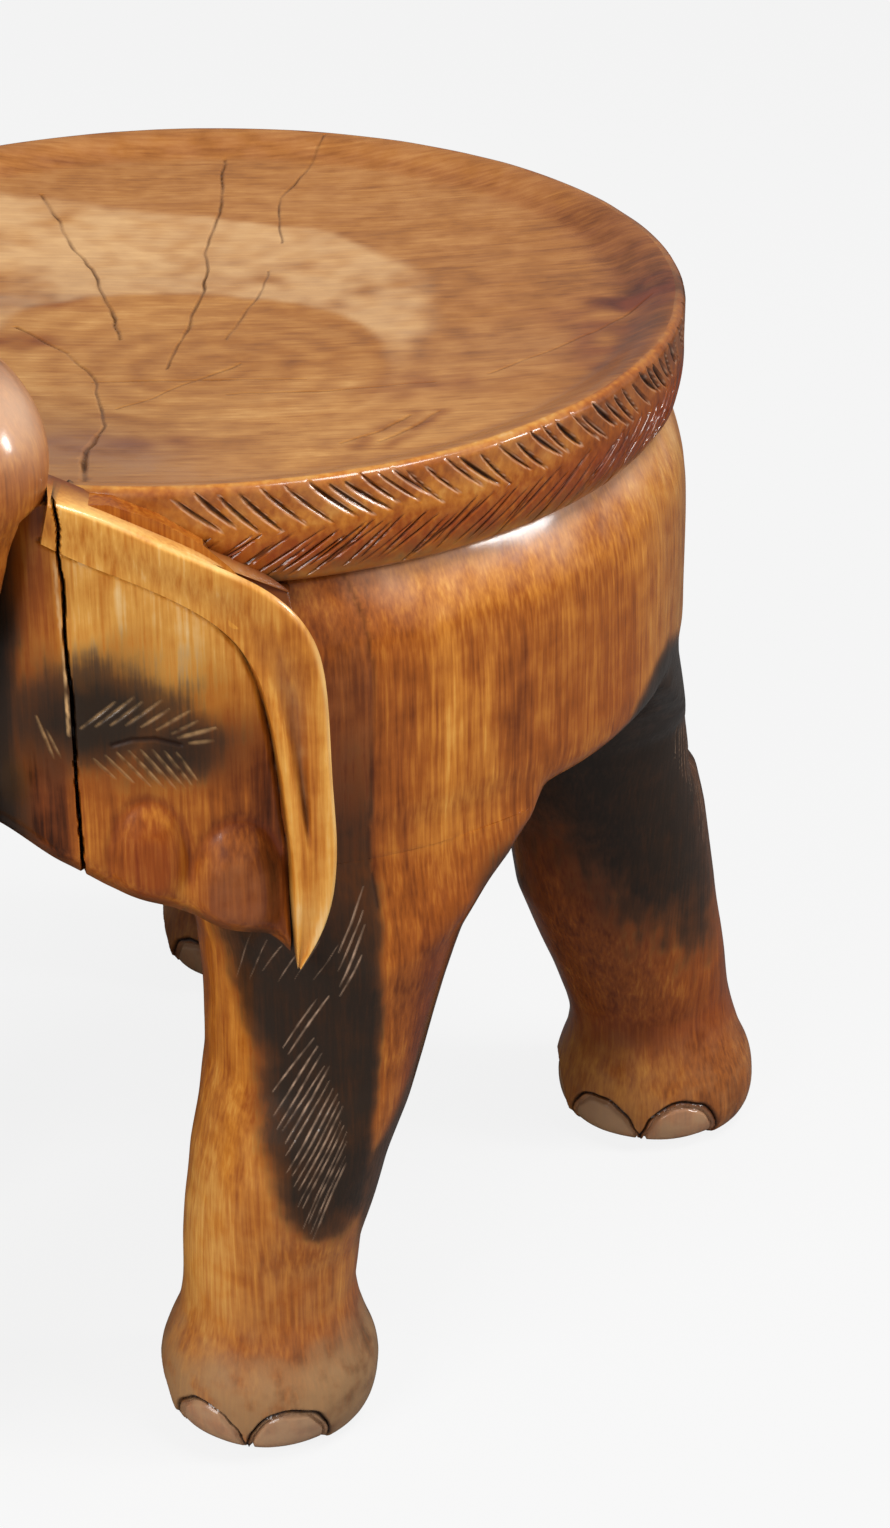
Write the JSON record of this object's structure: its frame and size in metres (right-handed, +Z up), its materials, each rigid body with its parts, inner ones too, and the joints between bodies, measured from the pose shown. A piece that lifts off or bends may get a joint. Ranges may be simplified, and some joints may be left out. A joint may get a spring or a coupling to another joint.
{
  "type": "carved elephant stool",
  "caption": "Round wooden stool carved as an elephant: dished seat over a drum body, four stout legs, hooked ear flaps, domed forehead and a trunk curled at its tip.",
  "frame": {"origin": "centre of the outer box, on the floor under the stool", "axes": "+Z up, the elephant faces -Y, +X is its left side"},
  "size_m": [0.384, 0.54, 0.4615],
  "materials": {
    "seat_wood": "orange-brown stain under satin lacquer, paler growth rings, fine checks",
    "stained_wood": "reddish brown stain under satin lacquer, vertical grain with golden streaks",
    "ear_wood": "golden brown stain with a darker fluted middle, satin",
    "leg_wood": "golden brown stain scorched dark round the upper leg, greyer at the foot, satin",
    "tusk_wood": "pale bare wood, satin",
    "plain_wood": "bare, glued in"
  },
  "bodies": {
    "root": {"seat": "seat_wood", "body": "stained_wood", "head": "stained_wood", "trunk": "stained_wood", "left_ear": "ear_wood", "right_ear": "ear_wood", "left_tusk": "tusk_wood", "right_tusk": "tusk_wood", "front_left_leg": "leg_wood", "front_right_leg": "leg_wood", "rear_left_leg": "leg_wood", "rear_right_leg": "leg_wood", "tail": "stained_wood", "seat_tenons": "plain_wood", "leg_tenons": "plain_wood", "head_tenons": "plain_wood", "trunk_tenon": "plain_wood", "ear_pins": "plain_wood"}
  },
  "joints": []
}
